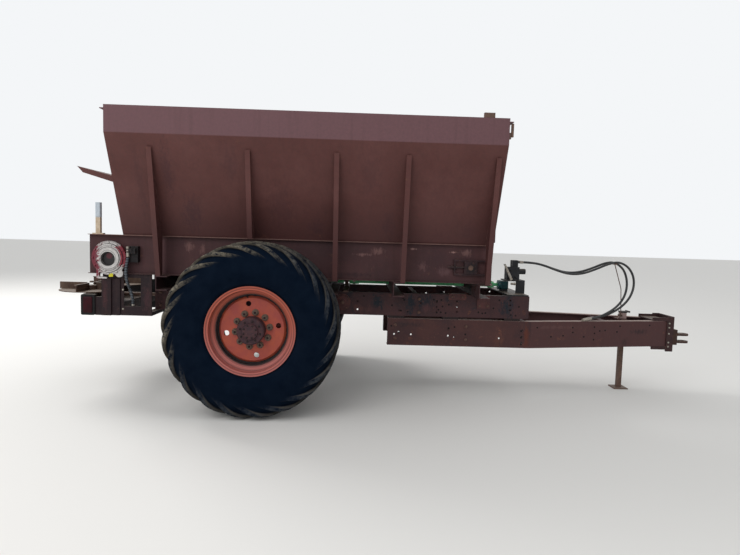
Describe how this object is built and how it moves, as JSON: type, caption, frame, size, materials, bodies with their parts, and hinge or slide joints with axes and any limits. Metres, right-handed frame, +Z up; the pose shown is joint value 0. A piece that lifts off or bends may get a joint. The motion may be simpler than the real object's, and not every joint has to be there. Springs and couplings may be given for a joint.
{
  "type": "lime spreader",
  "caption": "Pull-type lime spreader with a steep-sided hopper over a bar-chain conveyor, rear spinners, one axle with lugged tyres, and a tongue standing on a jack.",
  "frame": {"origin": "on the floor under the middle of the axle", "axes": "+X forward to the hitch, +Y to the machine's left, +Z up"},
  "size_m": [7.423, 3.1242, 3.0168],
  "materials": {
    "maroon_paint": "weathered maroon enamel, rust bleeding through",
    "frame_paint": "weathered dark maroon enamel, rusty and scraped",
    "rim_paint": "faded orange enamel",
    "hub_iron": "rusty dark cast iron",
    "tyre_rubber": "worn, dusty",
    "worn_steel": "worn bare steel",
    "rusty_steel": "rust",
    "green_paint": "chipped green enamel",
    "teal_paint": "teal enamel on cast iron",
    "black_paint": "black enamel",
    "silver_paint": "silver enamel with red patches",
    "lamp_red": "dark red lens",
    "pale_plastic": "pale plastic",
    "hose_rubber": "black rubber hose"
  },
  "bodies": {
    "chassis": {"frame_rail_right": "frame_paint", "frame_rail_left": "frame_paint", "frame_crossmembers": "frame_paint", "tongue_rail_right": "frame_paint", "tongue_rail_left": "frame_paint", "tongue_crossmembers": "frame_paint", "hitch_head": "frame_paint", "hitch_clevis": "rusty_steel", "axle_beam": "frame_paint", "axle_mounts": "frame_paint", "hopper_side_right": "maroon_paint", "hopper_side_left": "maroon_paint", "hopper_front": "maroon_paint", "hopper_rear": "maroon_paint", "sill_right": "maroon_paint", "sill_left": "maroon_paint", "side_ribs_right": "maroon_paint", "side_ribs_left": "maroon_paint", "cross_sills": "frame_paint", "conveyor_floor": "worn_steel", "conveyor_chain": "rusty_steel", "conveyor_rollers": "rusty_steel", "take_ups": "frame_paint", "conveyor_drive": "silver_paint", "drive_motor": "silver_paint", "spinner_frame": "frame_paint", "spinner_gearboxes": "rusty_steel", "tail_lamps": "lamp_red", "gate_jack": "rusty_steel", "rear_hood": "maroon_paint", "shaft_bearings": "rusty_steel", "transfer_case": "rusty_steel", "pump": "teal_paint", "pump_bracket": "black_paint", "valve_block": "black_paint", "jack_tube": "frame_paint", "jack_leg": "rusty_steel", "jack_crank": "rusty_steel", "rail_brackets": "rusty_steel", "hose_holder": "worn_steel", "hose_lower": "hose_rubber", "hose_upper": "hose_rubber", "rear_hose": "hose_rubber", "hose_couplings": "worn_steel", "marker_post": "pale_plastic", "top_fittings": "rusty_steel"},
    "wheel_right": {"tyre_right": "tyre_rubber", "rim_right": "rim_paint", "hub_right": "hub_iron"},
    "wheel_left": {"tyre_left": "tyre_rubber", "rim_left": "rim_paint", "hub_left": "hub_iron"},
    "spinner_right": {"spinner_disc_right": "rusty_steel"},
    "spinner_left": {"spinner_disc_left": "rusty_steel"},
    "gate": {"feed_gate": "maroon_paint"},
    "driveline": {"driveline_shaft": "green_paint"}
  },
  "joints": [
    {"name": "wheel_right_spin", "type": "hinge", "parent": "chassis", "child": "wheel_right", "pos_m": [0, -1.235, 0.85], "axis": [0, 1, 0], "continuous": true},
    {"name": "wheel_left_spin", "type": "hinge", "parent": "chassis", "child": "wheel_left", "pos_m": [0, 1.235, 0.85], "axis": [0, 1, 0], "continuous": true},
    {"name": "spinner_right_spin", "type": "hinge", "parent": "chassis", "child": "spinner_right", "pos_m": [-1.985, -0.4, 1.092], "axis": [0, 0, 1], "continuous": true},
    {"name": "spinner_left_spin", "type": "hinge", "parent": "chassis", "child": "spinner_left", "pos_m": [-1.985, 0.4, 1.092], "axis": [0, 0, 1], "continuous": true},
    {"name": "driveline_spin", "type": "hinge", "parent": "chassis", "child": "driveline", "pos_m": [0, 0, 1.236], "axis": [1, 0, 0], "continuous": true},
    {"name": "gate_slide", "type": "slide", "parent": "chassis", "child": "gate", "axis": [0, 0, 1], "range_m": [0, 0.24]}
  ]
}
